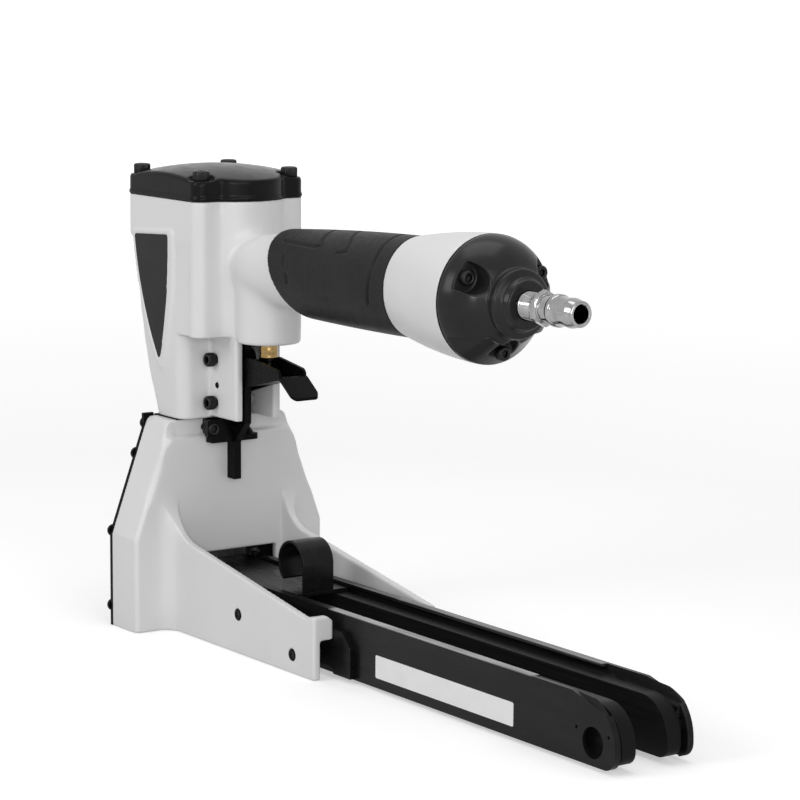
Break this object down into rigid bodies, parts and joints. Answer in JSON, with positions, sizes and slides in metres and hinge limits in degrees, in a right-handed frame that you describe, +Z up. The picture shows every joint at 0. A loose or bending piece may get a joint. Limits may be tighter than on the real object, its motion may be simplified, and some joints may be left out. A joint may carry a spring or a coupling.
{
  "type": "pneumatic carton stapler",
  "caption": "Pneumatic carton stapler: cylinder head on a flared clinching nose, gripped handle with air plug, lever trigger and long open magazine with a pusher.",
  "frame": {"origin": "on the base face that rests on the carton, at the middle of the driver blade", "axes": "+X runs back along the magazine and the handle, +Z runs up the drive line from the base, +Y runs across the tool away from the side with the bare plate"},
  "size_m": [0.3906, 0.1154, 0.2368],
  "materials": {
    "casting_paint": "satin light grey paint on cast aluminium",
    "cap_black": "satin black paint on cast aluminium",
    "grip_rubber": "matte moulded rubber",
    "gasket": "matte sheet gasket",
    "magazine_black": "semi-gloss black",
    "rail_black": "semi-gloss black anodised",
    "black_steel": "black oxide",
    "tool_steel": "ground",
    "zinc": "bright zinc plate",
    "brass": "turned",
    "piston_alloy": "turned",
    "plate_black": "gloss black, bare"
  },
  "bodies": {
    "frame": {"upper_body": "casting_paint", "nose_housing": "casting_paint", "top_cap": "cap_black", "end_cap": "cap_black", "grip_sleeve": "grip_rubber", "bumper": "grip_rubber", "cap_gasket": "gasket", "end_cap_gasket": "gasket", "body_gasket": "gasket", "magazine_side_left": "magazine_black", "magazine_side_right": "magazine_black", "mount_plate_left": "magazine_black", "mount_plate_right": "magazine_black", "magazine_spacers": "magazine_black", "inner_rail_left": "rail_black", "inner_rail_right": "rail_black", "cap_screws": "black_steel", "end_cap_screws": "black_steel", "front_plate": "black_steel", "front_plate_screws": "black_steel", "guide_screws": "black_steel", "guide_web": "black_steel", "side_screws": "black_steel", "clamp_block": "black_steel", "clamp_screw": "black_steel", "locating_stud": "black_steel", "wing_pins": "black_steel", "cylinder_sleeve": "tool_steel", "front_guide": "tool_steel", "blade_guide": "tool_steel", "clincher_pins": "tool_steel", "trigger_pin": "tool_steel", "valve_spring": "tool_steel", "air_plug": "zinc", "valve_sleeve": "brass", "rod_bush": "brass", "side_plate": "plate_black"},
    "driver": {"piston": "piston_alloy", "piston_ring": "piston_alloy", "piston_rod": "tool_steel", "rod_nut": "tool_steel", "crosshead": "tool_steel", "driver_blade": "tool_steel", "blade_pin": "tool_steel", "yoke_plate": "tool_steel", "yoke_screws": "black_steel"},
    "clincher_left": {"clincher_left": "tool_steel", "cam_pin_left": "tool_steel"},
    "clincher_right": {"clincher_right": "tool_steel", "cam_pin_right": "tool_steel"},
    "trigger": {"trigger_lever": "black_steel"},
    "valve_stem": {"valve_stem": "brass", "valve_seal": "grip_rubber"},
    "pusher": {"pusher": "magazine_black", "finger_loop": "magazine_black"}
  },
  "joints": [
    {"name": "driver_slide", "type": "slide", "parent": "frame", "child": "driver", "axis": [0, 0, -1], "range_m": [0, 0.03], "stiffness_N_per_m": 200, "springref_m": -0.06},
    {"name": "clincher_left_hinge", "type": "hinge", "parent": "frame", "child": "clincher_left", "pos_m": [0, -0.025, 0.018], "axis": [1, 0, 0], "range_deg": [0, 85]},
    {"name": "clincher_right_hinge", "type": "hinge", "parent": "frame", "child": "clincher_right", "pos_m": [0, 0.025, 0.018], "axis": [-1, 0, 0], "range_deg": [0, 85]},
    {"name": "trigger_hinge", "type": "hinge", "parent": "frame", "child": "trigger", "pos_m": [0.0224, 0, 0.1256], "axis": [0, -1, 0], "range_deg": [0, 5.3], "stiffness_Nm_per_rad": 0.4, "springref_deg": -8.59},
    {"name": "valve_slide", "type": "slide", "parent": "frame", "child": "valve_stem", "axis": [0, 0, 1], "range_m": [0, 0.0025], "deforming": ["valve_spring"]},
    {"name": "pusher_slide", "type": "slide", "parent": "frame", "child": "pusher", "axis": [1, 0, 0], "range_m": [0, 0.225], "stiffness_N_per_m": 6, "springref_m": -0.8}
  ],
  "couplings": [
    {"joint": "clincher_left_hinge", "follows": "driver_slide", "rad_per_m": 49.446},
    {"joint": "clincher_right_hinge", "follows": "driver_slide", "rad_per_m": 49.446},
    {"joint": "valve_slide", "follows": "trigger_hinge", "m_per_rad": 0.027024}
  ]
}
